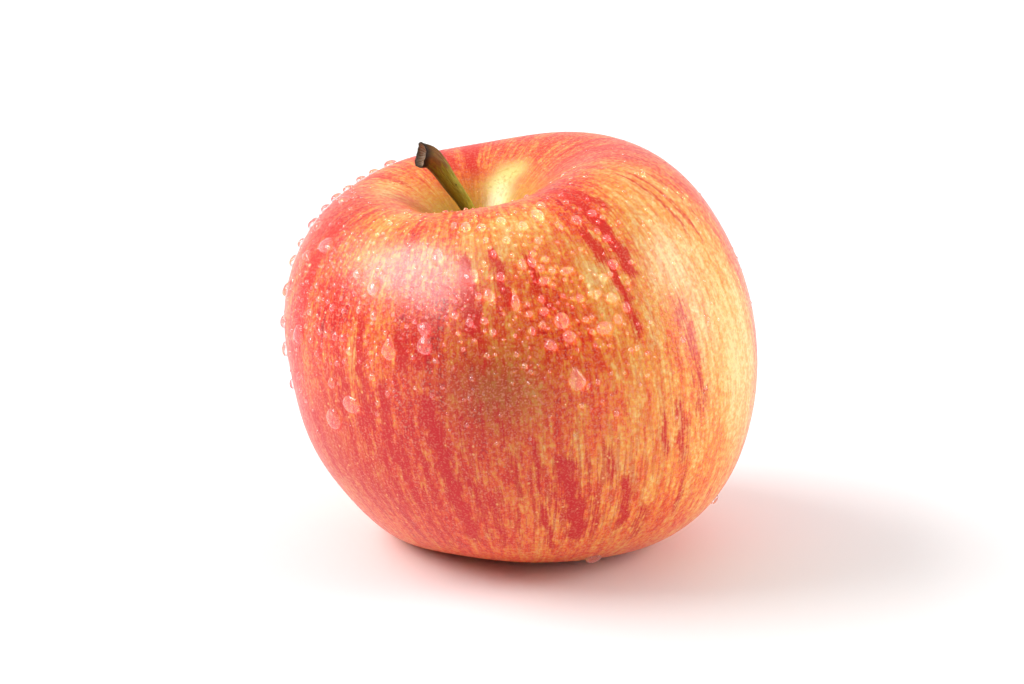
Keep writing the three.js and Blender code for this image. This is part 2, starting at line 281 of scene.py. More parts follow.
def standing(points):
    """Points of the frame that the apple grew in, turned and moved to where it stands."""
    cos, sin = np.cos(LEAN), np.sin(LEAN)
    turn = np.array([[cos, 0, sin], [0, 1, 0], [-sin, 0, cos]])
    return points @ turn.T + CORE_MIDDLE


def skin_distance(theta, phi):
    """Distance of the skin from the core's middle. A superellipse is drawn out at the belly, sunk at
    both ends by a bell each, ribbed by a cosine of five times phi, made oval by a cosine of twice phi,
    swollen to one side in three bands, and drawn in a little at the front of its base."""
    sin, cos = np.sin(theta), np.cos(theta)
    low = (1 - cos) / 2
    high = 1 - low
    half = np.where(cos > 0, SHOULDER, HEEL)
    girth = BELLY * (1 - TAPER * low**2)
    distance = ((np.abs(cos) / half) ** FULLNESS + (sin / girth) ** FULLNESS) ** (-1 / FULLNESS)
    distance = distance - CAVITY_DEPTH * bell(theta, 0, CAVITY_REACH)
    distance = distance - BASIN_DEPTH * bell(theta, np.pi, BASIN_REACH)
    distance = distance + sin * LOBE_HEIGHT * np.cos(LOBES * (phi - LOBE_PHI)) * (high**2 + low**2)
    distance = distance + sin**2 * OVAL * np.cos(2 * phi)
    for band, x, y in SWELLINGS:
        side = x * np.cos(phi) + y * np.sin(phi)
        distance = distance + sin * bell(theta, band, SWELLING_REACH) * side
    return distance - washes(np.degrees(theta), np.degrees(phi), BASE_RISE)


def skin_points(theta, phi):
    """The skin where the apple stands: skin_distance carried out from the core's middle along the
    direction of theta and phi, and kept above the surface that the apple rests on."""
    distance = skin_distance(theta, phi)
    out = distance * np.sin(theta)
    grown = stacked(out * np.cos(phi), out * np.sin(phi), distance * np.cos(theta))
    points = standing(grown)
    points[..., 2] = np.maximum(points[..., 2], 0)
    return points


def skin_normals(theta, phi):
    """Outward directions of the skin: the cross product of its slopes along theta and phi."""
    down = skin_points(theta + NORMAL_STEP, phi) - skin_points(theta - NORMAL_STEP, phi)
    round_core = skin_points(theta, phi + NORMAL_STEP) - skin_points(theta, phi - NORMAL_STEP)
    normals = np.cross(down, round_core)
    return normals / np.linalg.norm(normals, axis=-1, keepdims=True)


def washes(theta, phi, places):
    """Sum of soft round patches, each the product of a bell along phi and a bell along theta."""
    amounts = np.zeros(np.broadcast(theta, phi).shape)
    for middle, height, wide, tall, amount in places:
        amounts += amount * bell(degrees_between(phi, middle), 0, wide) * bell(theta, height, tall)
    return amounts


def streak_marks(theta, phi, streaks):
    """Strength of the nearest streak. Each runs straight between its ends, with a soft edge on both
    sides, wavers a little, and fades at its ends."""
    marks = np.zeros(np.broadcast(theta, phi).shape)
    for phi_0, theta_0, phi_1, theta_1, width, strength in streaks:
        share = (theta - theta_0) / (theta_1 - theta_0)
        waver = STREAK_WAVER * width * np.sin(theta * STREAK_WAVES + phi_0)
        across = degrees_between(phi, phi_0 + (phi_1 - phi_0) * share + waver)
        ends = ease((theta - theta_0) / STREAK_END + 0.5) * ease((theta_1 - theta) / STREAK_END + 0.5)
        core = np.exp(-np.abs(across / (STREAK_CORE * width)) ** 3)
        marks = np.maximum(marks, strength * ends * core)
    return marks


def more_streaks():
    """Seeded streaks round the sides and the back: longer and closer together at the shoulder."""
    rng = np.random.default_rng(MORE_STREAKS_SEED)
    start, end = FRONT
    phi = end + rng.uniform(0, 360 - (end - start), MORE_STREAKS)
    theta = UPPER_ENDS + UPPER_ENDS_DOWN * rng.uniform(0, 1, MORE_STREAKS) ** SHOULDER_CROWDING
    length = rng.uniform(*MORE_LENGTHS, MORE_STREAKS)
    drift = rng.normal(0, MORE_DRIFT, MORE_STREAKS)
    width = rng.uniform(*MORE_WIDTHS, MORE_STREAKS)
    strength = rng.uniform(*MORE_STRENGTHS, MORE_STREAKS)
    return np.stack([phi, theta, phi + drift, theta + length, width, strength], axis=1)


def curve_through(points, count):
    """Evenly spaced places and directions on the smooth curve through the points: between two of
    them it is a cubic whose slopes come from the neighbours, spaced by the root of their distance."""
    points = np.vstack([2 * points[0] - points[1], points, 2 * points[-1] - points[-2]])
    gaps = np.sqrt(np.linalg.norm(np.diff(points, axis=0), axis=1))[:, None]
    before, start, end, after = points[:-3], points[1:-2], points[2:-1], points[3:]
    gap_0, gap_1, gap_2 = gaps[:-2], gaps[1:-1], gaps[2:]
    leave = (start - before) / gap_0 - (end - before) / (gap_0 + gap_1) + (end - start) / gap_1
    arrive = (end - start) / gap_1 - (after - start) / (gap_1 + gap_2) + (after - end) / gap_2
    leave, arrive = leave * gap_1, arrive * gap_1
    t = np.linspace(0, 1, CURVE_STEPS, endpoint=False)[None, :, None]
    start, end, leave, arrive = (x[:, None, :] for x in (start, end, leave, arrive))
    cubic = (
        start
        + leave * t
        + (-3 * start + 3 * end - 2 * leave - arrive) * t**2
        + (2 * start - 2 * end + leave + arrive) * t**3
    )
    fine = np.vstack([cubic.reshape(-1, points.shape[1]), points[-2]])
    run = np.concatenate([[0], np.cumsum(np.linalg.norm(np.diff(fine, axis=0), axis=1))])
    even = np.linspace(0, run[-1], count)
    places = np.stack([np.interp(even, run, fine[:, k]) for k in range(fine.shape[1])], axis=1)
    slopes = np.gradient(places, axis=0)
    return places, slopes / np.linalg.norm(slopes, axis=1, keepdims=True), run[-1]


def between(t, values):
    """Values along a path at the shares t of its length."""
    shares = np.linspace(0, 1, len(values))
    return np.stack([np.interp(t, shares, column) for column in values.T], axis=-1)


def with_ends(values):
    """Values of a stack of rings, with the first and the last one repeated for the two end points."""
    flat = values.ravel()
    return np.concatenate([flat[:1], flat, flat[-1:]])


def rings_round(places, directions, across, outline):
    """Rings carried along a path. outline holds, for each ring and side, the distance along the
    ring's two axes and along the path; the second axis is the one nearest to across."""
    second = across - directions * (directions @ across)[:, None]
    second /= np.linalg.norm(second, axis=1, keepdims=True)
    first = np.cross(second, directions)
    axes = np.stack([first, second, directions], axis=1)
    return places[:, None, :] + outline @ axes


# Meshes


def closed_shells(starts, rings, ends):
    """Points and faces of closed forms. Each is a stack of rings between two end points, and faces
    outwards where the rings run anticlockwise seen from the first point."""
    count, rows, sides, _ = rings.shape
    points = np.concatenate(
        [starts[:, None], rings.reshape(count, rows * sides, 3), ends[:, None]], axis=1
    )
    ring = 1 + np.arange(rows * sides).reshape(rows, sides)
    beside = np.roll(ring, -1, axis=1)
    start, end = np.zeros(sides, dtype=int), np.full(sides, rows * sides + 1)
    quads = np.stack([ring[:-1], ring[1:], beside[1:], beside[:-1]], axis=-1).reshape(-1, 4)
    fans = np.concatenate(
        [np.stack([start, ring[0], beside[0]], axis=-1), np.stack([ring[-1], end, beside[-1]], axis=-1)]
    )
    shift = (np.arange(count) * points.shape[1])[:, None, None]
    quads, fans = (quads + shift).reshape(-1, 4), (fans + shift).reshape(-1, 3)
    return points.reshape(-1, 3), quads, fans


def joined(shells):
    """Several results of closed_shells as one."""
    points, quads, fans = [], [], []
    used = 0
    for shell_points, shell_quads, shell_fans in shells:
        points.append(shell_points)
        quads.append(shell_quads + used)
        fans.append(shell_fans + used)
        used += len(shell_points)
    return np.concatenate(points), np.concatenate(quads), np.concatenate(fans)


def make_piece(name, shell, material, values=None):
    """A smooth mesh object at the origin from points in millimetres, with one attribute for each
    array of values, and its material."""
    points, quads, fans = shell
    mesh = bpy.data.meshes.new(name)
    mesh.from_pydata((points * MM).tolist(), [], quads.tolist() + fans.tolist())
    for key, array in (values or {}).items():
        kind, field = ("FLOAT", "value") if array.ndim == 1 else ("FLOAT_VECTOR", "vector")
        made = mesh.attributes.new(key, kind, "POINT")
        made.data.foreach_set(field, array.astype(np.float32).ravel())
    mesh.shade_smooth()
    mesh.materials.append(material)
    piece = bpy.data.objects.new(name, mesh)
    bpy.context.scene.collection.objects.link(piece)
    return piece


# Materials


def add(tree, kind, sockets=None, **settings):
    """Adds a node, with its settings and with its sockets set or linked."""
    made = tree.nodes.new("ShaderNode" + kind)
    for name, value in settings.items():
        setattr(made, name, value)
    for key, value in (sockets or {}).items():
        if isinstance(value, bpy.types.NodeSocket):
            tree.links.new(value, made.inputs[key])
        else:
            made.inputs[key].default_value = value
    return made


def math(tree, operation, first, second=0.0):
    """Value worked out from two others."""
    return add(tree, "Math", {0: first, 1: second}, operation=operation).outputs[0]


def times(tree, first, second):
    """Product of two values."""
    return math(tree, "MULTIPLY", first, second)


def total(tree, *parts):
    """Sum of several values."""
    result = parts[0]
    for part in parts[1:]:
        result = math(tree, "ADD", result, part)
    return result


def mix(tree, factor, first, second, blend="MIX"):
    """Colour mixed from two others. A plain colour is given as three numbers."""
    first, second = (
        part if isinstance(part, bpy.types.NodeSocket) else (*part, 1.0) for part in (first, second)
    )
    sockets = {0: factor, 6: first, 7: second}
    return add(tree, "Mix", sockets, data_type="RGBA", blend_type=blend).outputs[2]


def spread(tree, value, low, high, to_low=0.0, to_high=1.0):
    """A value between low and high, eased to between to_low and to_high."""
    sockets = {"Value": value, 1: low, 2: high, 3: to_low, 4: to_high}
    return add(tree, "MapRange", sockets, interpolation_type="SMOOTHSTEP").outputs[0]


def attribute(tree, name, vector=False):
    """Values of one of the mesh's own attributes."""
    made = add(tree, "Attribute", attribute_name=name)
    return made.outputs["Vector" if vector else "Fac"]


def new_group(name, inputs, output):
    """An empty node group with its sockets, and its two end nodes."""
    group = bpy.data.node_groups.new(name, "ShaderNodeTree")
    for label, kind, value in inputs:
        socket = group.interface.new_socket(name=label, in_out="INPUT", socket_type="NodeSocket" + kind)
        if kind == "Float":
            socket.default_value = value
    group.interface.new_socket(name=output, in_out="OUTPUT", socket_type="NodeSocketFloat")
    return group, group.nodes.new("NodeGroupInput").outputs, group.nodes.new("NodeGroupOutput").inputs


def grain_group():
    """Noise drawn out along one direction, as in streaks, fibres and bark. With the same number of
    marks both ways it is plain mottling."""
    found = bpy.data.node_groups.get("drawn grain")
    if found:
        return found
    inputs = (
        ("Vector", "Vector", None),
        ("Marks across", "Float", 10.0),
        ("Marks along", "Float", 2.0),
        ("From", "Float", 0.3),
        ("To", "Float", 0.7),
    )
    group, given, out = new_group("drawn grain", inputs, "Mask")
    marks = {0: given["Marks across"], 1: given["Marks across"], 2: given["Marks along"]}
    scale = add(group, "CombineXYZ", marks)
    place = add(group, "VectorMath", {0: given["Vector"], 1: scale.outputs[0]}, operation="MULTIPLY")
    sockets = {"Vector": place.outputs[0], "Scale": 1.0, "Detail": 2.0, "Roughness": 0.55}
    noise = add(group, "TexNoise", sockets)
    mask = spread(group, noise.outputs[0], given["From"], given["To"])
    group.links.new(mask, out["Mask"])
    return group


def dot_group():
    """Round dots, one in each cell that has one, in several sizes: pores, flecks and pits."""
    found = bpy.data.node_groups.get("scattered dots")
    if found:
        return found
    inputs = (
        ("Vector", "Vector", None),
        ("Cells per metre", "Float", 500.0),
        ("Dot radius", "Float", 0.2),
        ("Share with a dot", "Float", 0.5),
    )
    group, given, out = new_group("scattered dots", inputs, "Mask")
    cells = add(group, "TexVoronoi", {"Vector": given["Vector"], "Scale": given["Cells per metre"]})
    chance = add(group, "SeparateColor", {0: cells.outputs["Color"]})
    kept = math(group, "LESS_THAN", chance.outputs[0], given["Share with a dot"])
    size = spread(group, chance.outputs[1], 0.0, 1.0, 0.5, 1.2)
    radius = times(group, given["Dot radius"], size)
    inside = times(group, radius, 0.4)
    dot = spread(group, cells.outputs["Distance"], radius, inside)
    group.links.new(times(group, dot, kept), out["Mask"])
    return group


def grain(tree, vector, across, along, low=0.3, high=0.7):
    """Mask of the drawn grain, with its marks across and along."""
    sockets = {0: vector, 1: across, 2: along, 3: low, 4: high}
    return add(tree, "Group", sockets, node_tree=grain_group()).outputs[0]


def dots(tree, vector, cells, radius, share):
    """Mask of the scattered dots."""
    sockets = {0: vector, 1: cells, 2: radius, 3: share}
    return add(tree, "Group", sockets, node_tree=dot_group()).outputs[0]


def new_material(name):
    """A material with its Principled node, its tree and its object coordinates."""
    material = bpy.data.materials.new(name)
    material.use_nodes = True
    tree = material.node_tree
    tree.nodes.clear()
    shader = add(tree, "BsdfPrincipled")
    add(tree, "OutputMaterial", {"Surface": shader.outputs[0]})
    place = add(tree, "TexCoord").outputs["Object"]
    return material, tree, shader, place


def set_sockets(shader, values):
    """Sets numbers and colours that are the same all over on the shader's own sockets."""
    for name, value in values.items():
        shader.inputs[name].default_value = value


def finish_material(tree, shader, colour, roughness, height, depth):
    """Links the colour and roughness, and a bump from the height, which is depth metres at 1."""
    tree.links.new(colour, shader.inputs["Base Color"])
    tree.links.new(roughness, shader.inputs["Roughness"])
    bump = add(tree, "Bump", {"Height": height, "Distance": depth, "Strength": 1.0})
    tree.links.new(bump.outputs[0], shader.inputs["Normal"])


def skin_material(look):
    """Waxy skin: one scale of pigment from pale yellow to deep crimson, moved by broad washes, by
    fibres along the meridians and by fine mottling, with the main streaks, pores and russet on top.
    A fine pale speckle is partly the skin's own pale dots and partly painted glints of light, and
    the pale patch in the stem cavity is partly a painted reflection of a window."""
    material, tree, shader, place = new_material("apple skin")
    grown = attribute(tree, "grown", vector=True)
    coarse = grain(tree, grown, 13.0, 1.7)
    medium = grain(tree, grown, 36.0, 8.0)
    fine = grain(tree, grown, 105.0, 34.0)
    mottle = grain(tree, place, 1400.0, 1400.0)
    speckle = grain(tree, place, 2900.0, 2900.0)

    base = attribute(tree, "pigment")
    grains = total(
        tree,
        times(tree, coarse, 0.20),
        times(tree, medium, 0.26),
        times(tree, fine, 0.15),
        times(tree, mottle, 0.26),
        times(tree, speckle, 0.20),
    )
    grains = math(tree, "SUBTRACT", grains, 0.535)
    grains = times(tree, grains, spread(tree, base, 0.15, 0.6, 0.62, 1.1))
    scale = add(tree, "ValToRGB", {0: total(tree, base, grains, -0.03)})
    stops = (
        (0.0, look.pale),
        (0.22, look.ground),
        (0.45, look.orange),
        (0.65, look.coral),
        (0.84, look.crimson),
        (1.0, look.deep),
    )
    ramp = scale.color_ramp.elements
    while len(ramp) < len(stops):
        ramp.new(0.5)
    for stop, (position, colour) in zip(ramp, stops):
        stop.position = position
        stop.color = (*colour, 1.0)
    colour = scale.outputs[0]
    colour = mix(tree, attribute(tree, "rosy"), colour, look.rose)
    colour = mix(tree, attribute(tree, "olive"), colour, look.olive)

    red = mix(tree, attribute(tree, "lowness"), look.flame, look.crimson)
    fibres = times(tree, grain(tree, grown, 60.0, 7.0, 0.47, 0.59), attribute(tree, "fibrous"))
    colour = mix(tree, times(tree, fibres, 0.8), colour, red)
    threads = grain(tree, grown, 120.0, 9.0)
    ragged = total(tree, attribute(tree, "streaks"), times(tree, threads, 0.45))
    ragged = total(tree, ragged, times(tree, mottle, 0.2))
    streak = spread(tree, ragged, 0.38, 1.1, 0.0, look.streak_strength)
    colour = mix(tree, streak, colour, red)
    # Fine pale speckle: partly the skin's own pale dots and partly painted glints of light off its tiny
    # pits; fewer on the streaks.
    glints = times(tree, spread(tree, speckle, 0.54, 0.98), spread(tree, streak, 0.0, 1.0, 0.38, 0.2))
    colour = mix(tree, glints, colour, look.bloom_and_glints)

    cavity = attribute(tree, "cavity")
    green = times(tree, cavity, spread(tree, medium, 0.0, 1.0, 0.7, 1.0))
    colour = mix(tree, green, colour, look.green)
    # Painted reflection: the pale patch on the cavity wall, partly paler skin and partly a window's
    # reflection laid into the colour.
    cream_highlight = attribute(tree, "cream_highlight")
    colour = mix(tree, cream_highlight, colour, look.cream_highlight)
    dashes = times(tree, grain(tree, grown, 12.0, 80.0, 0.5, 0.65), cream_highlight)
    colour = mix(tree, times(tree, dashes, 0.6), colour, look.green)
    russet = times(tree, attribute(tree, "russet"), grain(tree, grown, 30.0, 9.0, 0.4, 0.62))
    colour = mix(tree, russet, colour, look.russet)

    pores = dots(tree, place, 640.0, 0.16, 0.7)
    colour = mix(tree, times(tree, pores, 0.6), colour, look.pore)

    rough = spread(tree, mottle, 0.0, 1.0, look.roughness - 0.04, look.roughness + 0.06)
    rough = math(tree, "ADD", rough, times(tree, russet, 0.3))
    height = total(tree, mottle, times(tree, speckle, 0.5), times(tree, pores, -0.6))
    finish_material(tree, shader, colour, rough, height, look.relief)
    sockets = {
        "Specular IOR Level": 0.24,
        "Coat Weight": look.coat,
        "Coat Roughness": look.coat_roughness,
        "Subsurface Weight": look.flesh_glow,
        "Subsurface Radius": (1.0, 0.35, 0.15),
        "Subsurface Scale": 2 * MM,
    }
    set_sockets(shader, sockets)
    return material


def stalk_material(look):
    """Satin bark: green near the fruit and brown towards the break, with ridges, pores and a cup of
    tan pith. Its right side is painted lighter, as light falling on it, and its left side is
    painted darker, as shade."""
    material, tree, shader, place = new_material("apple stalk")
    bark = attribute(tree, "bark", vector=True)
    ridges = grain(tree, bark, 2.6, 1.2)
    fibres = grain(tree, bark, 9.0, 3.0)
    run = total(tree, attribute(tree, "along"), times(tree, ridges, 0.14))
    colour = mix(tree, spread(tree, run, 0.45, 0.8), look.green, look.olive)
    colour = mix(tree, spread(tree, run, 0.86, 1.02), colour, look.brown)
    side = add(tree, "SeparateXYZ", {0: bark}).outputs[0]
    # Painted light: the right side of the bark is tinted lighter, as the side that the lamps light.
    lit_side = times(tree, spread(tree, side, -0.2, 0.9), spread(tree, run, 0.95, 0.55))
    colour = mix(tree, times(tree, lit_side, 0.75), colour, look.painted_lit_side)
    # Painted shade: the left side of the bark is darkened.
    under = times(tree, spread(tree, side, 0.1, -0.9), 0.65)
    colour = mix(tree, under, colour, look.shade)
    colour = mix(tree, times(tree, fibres, 0.35), colour, look.shade)
    pores = dots(tree, place, 1400.0, 0.22, 0.4)
    colour = mix(tree, times(tree, pores, 0.7), colour, look.shade)
    pith = mix(tree, fibres, look.pith, look.brown)
    colour = mix(tree, attribute(tree, "broken"), colour, pith)
    colour = mix(tree, attribute(tree, "rim"), colour, look.shade)
    rough = spread(tree, fibres, 0.0, 1.0, 0.42, 0.62)
    height = total(tree, ridges, times(tree, fibres, 0.5), pores)
    finish_material(tree, shader, colour, rough, height, look.relief)
    set_sockets(shader, {"Specular IOR Level": 0.15})
    return material


def dried_flower_material(look):
    """Dry downy leaf: brown with pale down, darker veins along each blade, and a crumbly surface."""
    material, tree, shader, place = new_material("dried flower")
    blade = attribute(tree, "blade", vector=True)
    veins = grain(tree, blade, 5.0, 0.8)
    down = grain(tree, place, 3000.0, 3000.0, 0.45, 0.65)
    crumbs = grain(tree, place, 1300.0, 1300.0)
    colour = mix(tree, veins, look.brown, look.dark)
    colour = mix(tree, times(tree, crumbs, 0.4), colour, look.olive)
    colour = mix(tree, times(tree, down, 0.35), colour, look.down)
    rough = spread(tree, down, 0.0, 1.0, 0.8, 0.95)
    height = total(tree, veins, times(tree, crumbs, 0.7), times(tree, down, 0.4))
    finish_material(tree, shader, colour, rough, height, look.relief)
    return material


def water_material():
    """Clear water with about a tenth of near-white matt in it, which lets the light of the lamps
    through to the skin below. The matt white is painted light: it brightens the drops as the light
    that they focus onto the skin would.
    """
    material, tree, shader, place = new_material("water")
    # Painted light: a near-white base colour, shown by the matt share left below full transmission.
    focused_light_white = mix(tree, grain(tree, place, 400.0, 400.0), (0.98, 0.98, 0.98), (0.93, 0.94, 0.95))
    tree.links.new(focused_light_white, shader.inputs["Base Color"])
    sockets = {"Roughness": 0.02, "IOR": 1.333, "Specular IOR Level": 0.8, "Transmission Weight": 0.89}
    set_sockets(shader, sockets)
    clear = add(tree, "BsdfTransparent")
    lamp_ray = add(tree, "LightPath").outputs["Is Shadow Ray"]
    passing = add(tree, "MixShader", {0: lamp_ray, 1: shader.outputs[0], 2: clear.outputs[0]})
    tree.links.new(passing.outputs[0], tree.nodes["Material Output"].inputs["Surface"])
    return material


def plain_material(name, level):
    """Matt grey, for the floor."""
    material, _, shader, _ = new_material(name)
    set_sockets(shader, {"Base Color": (level, level, level, 1.0), "Roughness": 0.6})
    return material


# Pieces


def make_skin(look):
    """The fruit's skin in rings of constant theta, crowded towards the two ends by a sine."""
    share = np.arange(1, SKIN_RINGS + 1) / (SKIN_RINGS + 1)
    theta = np.pi * (share - RING_CROWDING * np.sin(TURN * share) / TURN)[:, None]
    phi = angles(SKIN_SIDES)[None, :]
    rings = skin_points(theta, phi)[None]
    zero = np.zeros(1)
    shell = closed_shells(skin_points(zero, zero), rings, skin_points(zero + np.pi, zero))

    theta = np.concatenate([[0.0], np.broadcast_to(theta, (SKIN_RINGS, SKIN_SIDES)).ravel(), [np.pi]])
    phi = np.concatenate([[0.0], np.broadcast_to(phi, (SKIN_RINGS, SKIN_SIDES)).ravel(), [0.0]])
    down, around = np.degrees(theta), np.degrees(phi)
    streaks = np.vstack([np.array(STREAKS, dtype=float), more_streaks()])
    values = {
        "grown": np.stack([np.cos(phi), np.sin(phi), theta], axis=1),
        # The washes add pigment and, in two pale patches, painted reflections.
        "pigment": look.redness + washes(down, around, REDDER_AND_SHEEN),
        "olive": np.clip(washes(down, around, OLIVE), 0, 1),
        "rosy": np.clip(washes(down, around, ROSY), 0, 1),
        "streaks": streak_marks(down, around, streaks),
        "lowness": ease((down - 50) / 40),
        "fibrous": np.clip(washes(down, around, FIBROUS), 0, 1),
        "cream_highlight": streak_marks(down, around, CREAM_HIGHLIGHT),
        "cavity": 1 - ease((down - 13) / 12) + ease((down - 152) / 18),
        "russet": 1 - ease((down - 8) / 12) + ease((down - 158) / 12),
    }
    return make_piece("skin", shell, skin_material(look), values)


def stem_radius(t):
    """A little thicker at the root by a bell, and again over the upper half by a power of the way."""
    head = np.maximum(0, (t - HEAD_FROM) / (1 - HEAD_FROM))
    return SHAFT + ROOT * bell(t, 0, ROOT_REACH) + HEAD * head**HEAD_POWER


def stem_rings(path, t, radius, broken):
    """Round rings along the path. Where they are broken, a pointed lip is added at their top, a power
    of the cosine, and their edge is pushed along the path by a sine of three times the angle."""
    places, directions = path
    angle = angles(STEM_SIDES)[None, :]
    lip = LIP * np.maximum(0, np.cos(angle)) ** 4
    broken = np.asarray(broken, dtype=float)[:, None]
    out = np.asarray(radius)[:, None] + broken * lip
    forward = broken * (lip + RAGGED * np.sin(3 * angle) + SPLINTERS * np.sin(11 * angle + 1))
    outline = stacked(out * np.cos(angle), out * np.sin(angle), forward)
    at, along = between(t, places), between(t, directions)
    along /= np.linalg.norm(along, axis=1, keepdims=True)
    return rings_round(at, along, np.array([0.0, 1.0, 0.0]), outline)


def make_stem(look):
    """Bark rings from the root to the rim, with low ridges that are sines of the angle, then the
    inside of the cup down to its floor."""
    places, directions, length = curve_through(STEM_PATH, STEM_STEPS)
    path = (places, directions)
    t = np.linspace(0, 1, STEM_RINGS)
    angle = angles(STEM_SIDES)[None, :]
    bark = stem_rings(path, t, stem_radius(t), t**BREAK_ONSET)
    waves = np.sin(5 * angle + 7 * t[:, None]) + 0.6 * np.sin(9 * angle - 11 * t[:, None])
    ridge = look.ridge / MM * waves
    centres = bark.mean(axis=1, keepdims=True)
    outwards = bark - centres
    outwards /= np.linalg.norm(outwards, axis=-1, keepdims=True)
    bark = bark + outwards * ridge[..., None]

    inner = stem_radius(1.0) - CUP_WALL
    rim_t = 1 - np.array([RIM_ALONG, 1.0]) * CUP_WALL / length
    rim = stem_rings(path, rim_t, np.array([inner + RIM_OUT * CUP_WALL, inner]), np.ones(2))
    depth_t = 1 - CUP_DEPTH / length
    cup_t = rim_t[1] + (depth_t - rim_t[1]) * CUP_SHARES
    cup = stem_rings(path, cup_t, inner * (1 - (1 - CUP_FLOOR) * CUP_SHARES**2), 1 - CUP_SHARES)
    floor = stem_rings(path, np.full(2, depth_t), inner * CUP_FLOOR * FLOOR_SHARES, np.zeros(2))
    rings = np.concatenate([bark, rim, cup, floor])
    end = between(depth_t, places)[None]
    points, quads, fans = closed_shells(standing(places[:1]), standing(rings)[None], standing(end))
    shell = points, quads[:, ::-1], fans[:, ::-1]

    along = np.concatenate([t, np.ones(len(INSIDE))])
    broken = np.concatenate([np.zeros(STEM_RINGS), INSIDE])
    edge = np.concatenate([ease((t - RIM_FROM) / RIM_FADE), 1 - RIM_LOSS * INSIDE])
    parts = np.broadcast_arrays(angle, along[:, None], broken[:, None], edge[:, None])
    spin, along, broken, edge = (with_ends(part) for part in parts)
    values = {
        "bark": stacked(np.cos(spin), np.sin(spin), along * length / SHAFT / 3),
        "along": along,
        "broken": broken,
        "rim": edge,
    }
    return make_piece("stalk", shell, stalk_material(look), values)


def make_calyx(look):
    """A short tube with five sepals and a few stamens. A sepal is a flat oval carried along its path
    and narrowed by the square of the way; its edges cup inwards and its tip twists. A stamen is a
    straight round rod with a swelling near its end."""
    shells, blades = [], []

    def keep(rings, starts, ends, blade):
        """Adds closed forms, and the place on the blade of each of their points."""
        points, quads, fans = closed_shells(starts, rings, ends)
        shells.append((standing(points), quads[:, ::-1], fans[:, ::-1]))
        count, rows, sides, _ = rings.shape
        flat = blade.reshape(count, rows * sides, 3)
        blades.append(np.concatenate([flat[:, :1], flat, flat[:, -1:]], axis=1).reshape(-1, 3))

    angle = angles(TUBE_SIDES)
    heights = np.linspace(TUBE_TOP, TUBE_BOTTOM, TUBE_RINGS)[:, None]
    narrower = np.linspace(1, TUBE_END, TUBE_RINGS)[:, None]
    radii = TUBE_RADIUS * (1 + FLUTE_DEPTH * np.cos(FLUTES * angle))[None, :] * narrower
    tube = stacked(radii * np.cos(-angle), radii * np.sin(-angle), heights)[None]
    blade = stacked(np.cos(angle), np.sin(angle), heights / 3)[None]
    keep(tube, np.array([[0, 0, TUBE_TOP]]), np.array([[0, 0, TUBE_BOTTOM]]), blade)

    angle = angles(SEPAL_SIDES)[None, :]
    t = np.linspace(0, 1, SEPAL_RINGS)[:, None]
    rng = np.random.default_rng(CALYX_SEED)
    for k in range(SEPALS):
        phi = k / SEPALS * TURN
        outwards = np.array([np.cos(phi), np.sin(phi)])
        path = np.concatenate([SEPAL_PATH[:, :1] * outwards, SEPAL_PATH[:, 1:]], axis=1)
        places, directions, _ = curve_through(path, SEPAL_RINGS)
        width = SEPAL_WIDTH * (1 - SEPAL_NARROWING * t**2)
        thinner = 1 - SEPAL_THINNING * t
        thick = SEPAL_THICKNESS * thinner
        twist = rng.uniform(-SEPAL_TWIST, SEPAL_TWIST) * t**2
        across = width / 2 * np.sin(angle)
        cupped = thick / 2 * np.cos(angle) - SEPAL_CUP * across**2 * thinner
        cupped = cupped + SEPAL_WAVE * np.sin(5 * t + 3 * np.sign(across) + k)
        cos, sin = np.cos(twist), np.sin(twist)
        outline = stacked(cupped * cos - across * sin, cupped * sin + across * cos, 0 * across)
        rings = rings_round(places, directions, np.array([-np.sin(phi), np.cos(phi), 0.0]), outline)
        blade = stacked(across / SEPAL_WIDTH * 2, float(k), t * 2)
        keep(rings[None], places[None, 0], places[None, -1], blade[None])

    angle = angles(STAMEN_SIDES)[None, :]
    t = np.linspace(0, 1, STAMEN_RINGS)[:, None]
    for k in range(STAMENS):
        phi = k * GOLDEN_ANGLE
        out = STAMEN_SPREAD * np.sqrt((k + 0.5) / STAMENS)
        foot = np.array([out * np.cos(phi), out * np.sin(phi), TUBE_BOTTOM + STAMEN_ROOTED])
        head = foot * (1 + STAMEN_LEAN * STAMEN_LENGTH)
        head[2] = foot[2] - STAMEN_ROOTED - STAMEN_LENGTH
        places = foot + (head - foot) * t
        sway = np.sin(np.pi * t) * STAMEN_SWAY * np.array([np.cos(phi + 1), np.sin(phi + 1), 0])
        places = places + sway
        directions = np.gradient(places, axis=0)
        directions /= np.linalg.norm(directions, axis=1, keepdims=True)
        swell = (ANTHER_SWELL + ANTHER_EXTRA) * bell(t, ANTHER_AT, ANTHER_REACH)
        radius = STAMEN_RADIUS * (1 - STAMEN_TAPER * t) + swell
        radius = radius * (1 + STAMEN_WAVE * np.sin(3 * angle + 9 * t))
        outline = stacked(radius * np.cos(angle), radius * np.sin(angle), 0 * radius)
        rings = rings_round(places, directions, np.array([0.0, 1.0, 0.0]), outline)
        blade = stacked(np.cos(angle), np.sin(angle), t)
        keep(rings[None], places[None, 0], places[None, -1], blade[None])

    values = {"blade": np.concatenate(blades)}
    return make_piece("dried_flower", joined(shells), dried_flower_material(look), values)


